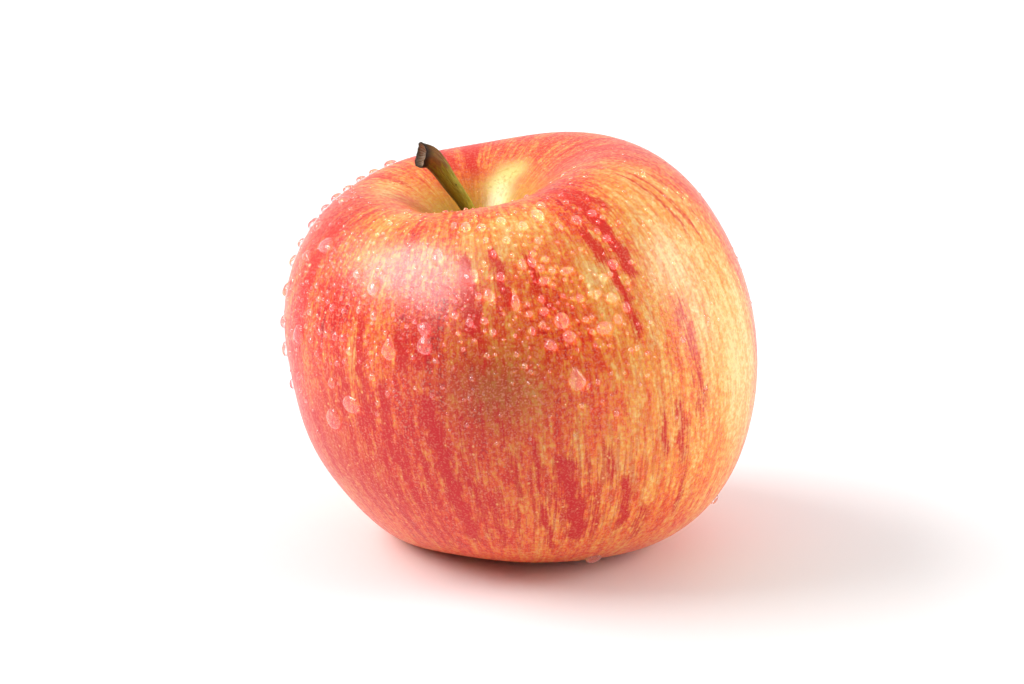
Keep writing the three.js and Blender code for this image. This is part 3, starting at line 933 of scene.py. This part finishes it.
def drop_shells(places, sizes, tails, rng, rings, sides, height):
    """Drops on the skin, all at once. Each is a cap over an oval base: its height is a power of the
    cosine of the way out, moved downhill, and its edge wavers by seeded sines. places are theta and
    phi, sizes the width and length, and tails how much the upper end narrows."""
    count = len(places)
    theta, phi = places[:, 0, None, None], places[:, 1, None, None]
    wide, tall = sizes[:, 0, None, None] / 2, sizes[:, 1, None, None] / 2
    angle = angles(sides)[None, None, :]
    out = (np.arange(1, rings + 1) / rings)[None, :, None]
    waves = len(DROP_WAVERS)
    waver = rng.uniform(-1, 1, (waves, count, 1, 1)) * DROP_WAVERS[:, None, None, None]
    turns = rng.uniform(0, TURN, (waves, count, 1, 1))
    edge = 1 + sum(waver[k] * np.cos((k + 2) * angle + turns[k]) for k in range(waves))
    reach = np.sin(out * np.pi / 2) * edge
    down = reach * np.sin(angle)
    narrow = 1 - tails[:, None, None] * ease(TAIL_FROM - down)
    across = reach * np.cos(angle) * narrow
    cap = np.cos(out * np.pi / 2) ** DROP_DOME
    lift = height[:, None, None] * np.minimum(wide, tall) * cap * (1 + DROP_SAG * down) - SINK * out**4
    distance = skin_distance(theta, phi)
    at_theta = theta + down * tall / distance
    at_phi = phi + across * wide / (distance * np.sin(theta))
    rim = skin_points(at_theta, at_phi) + skin_normals(at_theta, at_phi) * lift[..., None]
    middle = skin_points(places[:, 0], places[:, 1])
    normal = skin_normals(places[:, 0], places[:, 1])
    top = middle + normal * (height * np.minimum(sizes[:, 0], sizes[:, 1]) / 2)[:, None]
    points, quads, fans = closed_shells(top, rim, middle - normal * SINK)
    return points, quads[:, ::-1], fans[:, ::-1]


def make_drops(rng):
    """The larger drops at their own places, and the middling ones in seeded sizes."""
    large = np.array(DROPS, dtype=float)
    small = np.array(SMALL_DROPS, dtype=float)
    width = rng.uniform(*SMALL_DROP_SIZES, len(small))
    length = width * rng.uniform(*SMALL_DROP_STRETCH, len(small))
    places = np.radians(np.concatenate([large[:, [1, 0]], small[:, [1, 0]]]))
    sizes = np.concatenate([large[:, 2:4], np.stack([width, length], axis=1)])
    tails = np.concatenate([large[:, 4], np.zeros(len(small))])
    height = np.interp(sizes.min(axis=1), DROP_WIDTHS, DROP_HEIGHTS)
    shell = drop_shells(places, sizes, tails, rng, DROP_RINGS, DROP_SIDES, height)
    return shell, places, sizes.mean(axis=1)


def make_beads(rng, look, taken, taken_sizes):
    """Small beads, thickest in the crowds, none of them on another drop."""
    (phi_low, theta_low), (phi_high, theta_high) = BEAD_RANGE
    tries = look.beads * BEAD_TRIES
    around = rng.uniform(phi_low, phi_high, tries)
    down = rng.uniform(theta_low, theta_high, tries)
    chance = rng.uniform(0, 1, tries)
    wanted = chance < washes(down, around, BEAD_CROWDS)
    places = np.radians(np.stack([down, around], axis=1)[wanted][: look.beads])
    smallest, largest = look.smallest / MM, look.largest / MM
    size = smallest + (largest - smallest) * rng.uniform(0, 1, len(places)) ** BEAD_SMALLNESS
    spots = skin_points(places[:, 0], places[:, 1])
    others = skin_points(taken[:, 0], taken[:, 1])
    to_drops = np.linalg.norm(spots[:, None] - others[None], axis=-1)
    to_beads = np.linalg.norm(spots[:, None] - spots[None], axis=-1)
    on_drops = to_drops < SPACING * (size[:, None] + taken_sizes)
    on_beads = to_beads < SPACING * (size[:, None] + size)
    free = ~on_drops.any(axis=1) & ~np.tril(on_beads, -1).any(axis=1)
    places, size = places[free], size[free]
    sizes = np.stack([size, size * rng.uniform(*BEAD_STRETCH, len(size))], axis=1)
    height = np.full(len(size), BEAD_HEIGHT)
    return drop_shells(places, sizes, np.zeros(len(size)), rng, BEAD_RINGS, BEAD_SIDES, height)


# Settings


def colour_setting(name, description, red, green, blue):
    """A colour that a user may change, given in steps of 1/255."""
    value = tint(red, green, blue)
    return FloatVectorProperty(
        name=name, description=description, default=value, subtype="COLOR", min=0, max=1
    )


def size_setting(name, description, default):
    """A length that a user may change, given in millimetres."""
    return FloatProperty(
        name=name, description=description, default=default * MM, min=0, unit="LENGTH", precision=5
    )


def share_setting(name, description, default):
    """A share from 0 to 1 that a user may change."""
    return FloatProperty(
        name=name, description=description, default=default, min=0, max=1, subtype="FACTOR"
    )


def brightness_setting(name, description, default):
    """A brightness that a user may change."""
    return FloatProperty(name=name, description=description, default=default, min=0)


class AppleSkinSettings(bpy.types.PropertyGroup):
    """Colours and finish of the skin"""

    pale: colour_setting("Pale yellow", "Where there is least pigment", 248, 212, 138)
    ground: colour_setting("Ground", "Yellow-orange ground colour", 245, 164, 68)
    orange: colour_setting("Orange", "Where the blush begins", 242, 104, 40)
    coral: colour_setting("Coral", "Middle of the blush", 232, 56, 30)
    crimson: colour_setting("Crimson", "Fullest blush, and the lower streaks", 206, 10, 24)
    deep: colour_setting("Deep red", "Darkest skin, between the lower streaks", 164, 8, 20)
    flame: colour_setting("Flame", "Streaks near the shoulder", 220, 34, 18)
    rose: colour_setting("Rose", "Cooler blush of the shaded side", 200, 48, 50)
    olive: colour_setting("Olive", "Brownish wash below the shoulder", 160, 70, 26)
    green: colour_setting("Green", "Inside the stem cavity and the calyx basin", 196, 160, 16)
    # This patch is partly a painted reflection of a window.
    cream_highlight: colour_setting("Cream", "Pale patch on the right wall of the cavity", 238, 218, 120)
    # Part of this speckle is painted glints of light.
    bloom_and_glints: colour_setting("Bloom", "Fine pale speckle all over the skin", 246, 176, 136)
    russet: colour_setting("Russet", "Corky skin deep in the two hollows", 176, 128, 66)
    pore: colour_setting("Pores", "Pale dots all over the skin", 250, 205, 130)
    redness: share_setting("Redness", "Pigment before the washes are added", 0.522)
    streak_strength: share_setting("Streaks", "How much the streaks cover", 0.95)
    roughness: share_setting("Roughness", "Roughness of the skin under its wax", 0.34)
    coat: share_setting("Wax", "Weight of the waxy coat", 0.2)
    coat_roughness: share_setting("Wax roughness", "Roughness of the waxy coat", 0.2)
    flesh_glow: share_setting("Flesh glow", "Share of the light that spreads in the flesh", 0.06)
    relief: size_setting("Relief", "Depth of the fine roughness of the skin", 0.025)


class AppleStemSettings(bpy.types.PropertyGroup):
    """Colours and relief of the stem"""

    ridge: size_setting("Ridges", "Height of the low ridges along the bark", 0.05)
    relief: size_setting("Relief", "Depth of the fine grooves and pores of the bark", 0.08)
    green: colour_setting("Green", "Young bark near the fruit", 150, 158, 40)
    # Painted light: the lighter tint of the bark's lit side.
    painted_lit_side: colour_setting("Sunny side", "Upper side of the bark", 208, 212, 84)
    olive: colour_setting("Olive", "Bark further up", 152, 146, 38)
    brown: colour_setting("Brown", "Bark near the break", 134, 88, 38)
    # Dark bark also paints the shade on the left side of the stem.
    shade: colour_setting("Dark bark", "Rim of the break and furrows", 46, 30, 16)
    pith: colour_setting("Pith", "Inside of the broken end", 205, 176, 150)


class AppleCalyxSettings(bpy.types.PropertyGroup):
    """Colours and relief of the dried flower"""

    relief: size_setting("Relief", "Depth of the veins and crumbs of the dry leaf", 0.12)
    brown: colour_setting("Brown", "Dry leaf", 112, 84, 54)
    dark: colour_setting("Dark brown", "Veins and edges", 58, 40, 26)
    olive: colour_setting("Olive", "Where the leaf is still greenish", 118, 108, 66)
    down: colour_setting("Down", "Pale hairs", 178, 162, 134)


class AppleWaterSettings(bpy.types.PropertyGroup):
    """How many beads, and their sizes"""

    beads: IntProperty(name="Beads", description="Small beads to place", default=1000, min=0, max=2000)
    smallest: size_setting("Smallest bead", "Width of the smallest beads", 0.4)
    largest: size_setting("Largest bead", "Width of the largest beads", 0.95)


class AppleStageSettings(bpy.types.PropertyGroup):
    """Camera, lights and floor"""

    elevation: FloatProperty(
        name="Elevation", description="Camera's angle above the horizon",
        default=np.radians(18), subtype="ANGLE",
    )
    distance: FloatProperty(
        name="Distance", description="From the camera to the apple", default=0.4, min=0.1, unit="LENGTH"
    )
    lens: FloatProperty(
        name="Lens", description="Focal length on a full frame", default=85, min=20, unit="CAMERA"
    )
    sky: brightness_setting("Room light", "Light from the back of the room", 0.82)
    front: brightness_setting("Front light", "Light from the camera's side", 0.09)
    floor: share_setting("Floor", "How much light the floor sends back", 0.95)
    floor_width: FloatProperty(
        name="Floor width", description="Side of the square floor", default=12, min=1, unit="LENGTH"
    )
    key: brightness_setting("Key light", "Brightness of the large light", 6.5)
    window: brightness_setting("Window card", "Brightness of the window that the wax reflects", 16.5)
    side: brightness_setting("Side light", "Brightness of the side light", 6.5)


def make_light(name, direction, wide, tall, brightness, lights=True, reflects=True):
    """A softbox at a distance of 3 m in a direction from the fruit, of an angular width and height in
    degrees. A rectangular light of power P and area A has the brightness P / (pi A). It lights matt
    surfaces, or shows in glossy ones, or both."""
    direction = Vector(direction).normalized()
    light = bpy.data.lights.new(name, "AREA")
    light.shape = "RECTANGLE"
    light.size = 2 * LAMP_DISTANCE * np.tan(np.radians(wide / 2))
    light.size_y = 2 * LAMP_DISTANCE * np.tan(np.radians(tall / 2))
    light.energy = brightness * np.pi * light.size * light.size_y
    lamp = bpy.data.objects.new(name, light)
    lamp.location = Vector((0, 0, LAMP_AIM)) + direction * LAMP_DISTANCE
    lamp.rotation_euler = direction.to_track_quat("Z", "Y").to_euler()
    lamp.visible_camera = False
    lamp.visible_diffuse = lights
    lamp.visible_glossy = reflects
    lamp.visible_transmission = lights
    bpy.context.scene.collection.objects.link(lamp)


def plain_room(sky, front):
    """Even light from all sides, darker from the front of the room, where the camera is."""
    world = bpy.data.worlds.new("plain room")
    world.use_nodes = True
    tree = world.node_tree
    direction = add(tree, "TexCoord").outputs["Generated"]
    along = add(tree, "VectorMath", {0: direction, 1: BRIGHT_SIDE}, operation="DOT_PRODUCT")
    level = spread(tree, along.outputs["Value"], *FRONT_FADE, front, sky)
    tree.links.new(level, tree.nodes["Background"].inputs["Strength"])
    tree.nodes["Background"].inputs["Color"].default_value = (1.0, 1.0, 1.0, 1.0)
    return world


# Operators


class APPLE_OT_make_skin(bpy.types.Operator):
    """Makes the fruit's skin in place of the plain solid"""

    bl_idname = "apple.make_skin"
    bl_label = "Skin"
    bl_options = {"REGISTER", "UNDO"}

    def execute(self, context):
        skin = make_skin(context.scene.apple_skin)
        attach(skin, BODY)
        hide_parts("fruit")
        return {"FINISHED"}


class APPLE_OT_make_stem(bpy.types.Operator):
    """Makes the stem with its bark and its broken end"""

    bl_idname = "apple.make_stem"
    bl_label = "Stem"
    bl_options = {"REGISTER", "UNDO"}

    def execute(self, context):
        stem = make_stem(context.scene.apple_stem)
        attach(stem, BODY)
        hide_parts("stem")
        return {"FINISHED"}


class APPLE_OT_make_calyx(bpy.types.Operator):
    """Makes the dried flower in the basin underneath"""

    bl_idname = "apple.make_calyx"
    bl_label = "Calyx"
    bl_options = {"REGISTER", "UNDO"}

    def execute(self, context):
        calyx = make_calyx(context.scene.apple_calyx)
        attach(calyx, BODY)
        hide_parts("calyx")
        return {"FINISHED"}


class APPLE_OT_add_water(bpy.types.Operator):
    """Adds the drops and the beads of water on the skin"""

    bl_idname = "apple.add_water"
    bl_label = "Water drops"
    bl_options = {"REGISTER", "UNDO"}

    def execute(self, context):
        rng = np.random.default_rng(WATER_SEED)
        material = water_material()
        shell, taken, sizes = make_drops(rng)
        drops = make_piece("water_drops", shell, material)
        shell = make_beads(rng, context.scene.apple_water, taken, sizes)
        beads = make_piece("water_beads", shell, material)
        for water in (drops, beads):
            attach(water, BODY)
        return {"FINISHED"}


class APPLE_OT_set_stage(bpy.types.Operator):
    """Lays the pale floor and sets the lights and the camera"""

    bl_idname = "apple.set_stage"
    bl_label = "Stage"
    bl_options = {"REGISTER", "UNDO"}

    def execute(self, context):
        scene, stage = context.scene, context.scene.apple_stage
        half = stage.floor_width / 2
        mesh = bpy.data.meshes.new("floor")
        corners = [(-half, -half), (half, -half), (half, half), (-half, half)]
        mesh.from_pydata([(x, y, -FLOOR_GAP * MM) for x, y in corners], [], [(0, 1, 2, 3)])
        mesh.materials.append(plain_material("pale floor", stage.floor))
        floor = bpy.data.objects.new("floor", mesh)
        scene.collection.objects.link(floor)

        make_light("key light", (-0.76, 0.14, 0.64), 44, 36, stage.key, reflects=False)
        make_light("window card", (-0.695, -0.275, 0.66), 50, 30, stage.window, lights=False)
        make_light("side light", (0.95, -0.04, 0.31), 26, 44, stage.side)
        scene.world = plain_room(stage.sky, stage.front)
        scene.view_settings.view_transform = "Standard"

        camera = bpy.data.cameras.new("camera")
        camera.sensor_width = SENSOR_WIDTH
        camera.lens = stage.lens
        camera.clip_start = CLIP_START
        viewer = bpy.data.objects.new("camera", camera)
        back = Vector((0, -np.cos(stage.elevation), np.sin(stage.elevation)))
        viewer.location = VIEW_TARGET + back * stage.distance
        viewer.rotation_euler = back.to_track_quat("Z", "Y").to_euler()
        scene.collection.objects.link(viewer)
        scene.camera = viewer
        return {"FINISHED"}


class APPLE_PT_panel(bpy.types.Panel):
    """Lists the apple's pieces and their settings"""

    bl_idname = "APPLE_PT_panel"
    bl_label = "Red apple"
    bl_space_type = "VIEW_3D"
    bl_region_type = "UI"
    bl_category = "Apple"

    def draw(self, context):
        for settings, operator in STEPS.items():
            box = self.layout.box()
            box.operator(operator)
            group = getattr(context.scene, settings)
            for name in group.__annotations__:
                box.prop(group, name)


STEPS = {
    "apple_skin": "apple.make_skin",
    "apple_stem": "apple.make_stem",
    "apple_calyx": "apple.make_calyx",
    "apple_water": "apple.add_water",
    "apple_stage": "apple.set_stage",
}
SETTINGS = {
    "apple_skin": AppleSkinSettings,
    "apple_stem": AppleStemSettings,
    "apple_calyx": AppleCalyxSettings,
    "apple_water": AppleWaterSettings,
    "apple_stage": AppleStageSettings,
}
OPERATORS = (
    APPLE_OT_make_skin,
    APPLE_OT_make_stem,
    APPLE_OT_make_calyx,
    APPLE_OT_add_water,
    APPLE_OT_set_stage,
)


def register():
    """Adds the settings, the operators and the panel."""
    for name, group in SETTINGS.items():
        bpy.utils.register_class(group)
        setattr(bpy.types.Scene, name, PointerProperty(type=group))
    for operator in OPERATORS:
        bpy.utils.register_class(operator)
    bpy.utils.register_class(APPLE_PT_panel)


def unregister():
    """Takes them away again."""
    bpy.utils.unregister_class(APPLE_PT_panel)
    for operator in reversed(OPERATORS):
        bpy.utils.unregister_class(operator)
    for name, group in reversed(SETTINGS.items()):
        delattr(bpy.types.Scene, name)
        bpy.utils.unregister_class(group)


def main():
    """Makes the pieces and the stage in order."""
    register()
    bpy.ops.apple.make_skin()
    bpy.ops.apple.make_stem()
    bpy.ops.apple.make_calyx()
    bpy.ops.apple.add_water()
    bpy.ops.apple.set_stage()


if __name__ == "__main__":
    main()
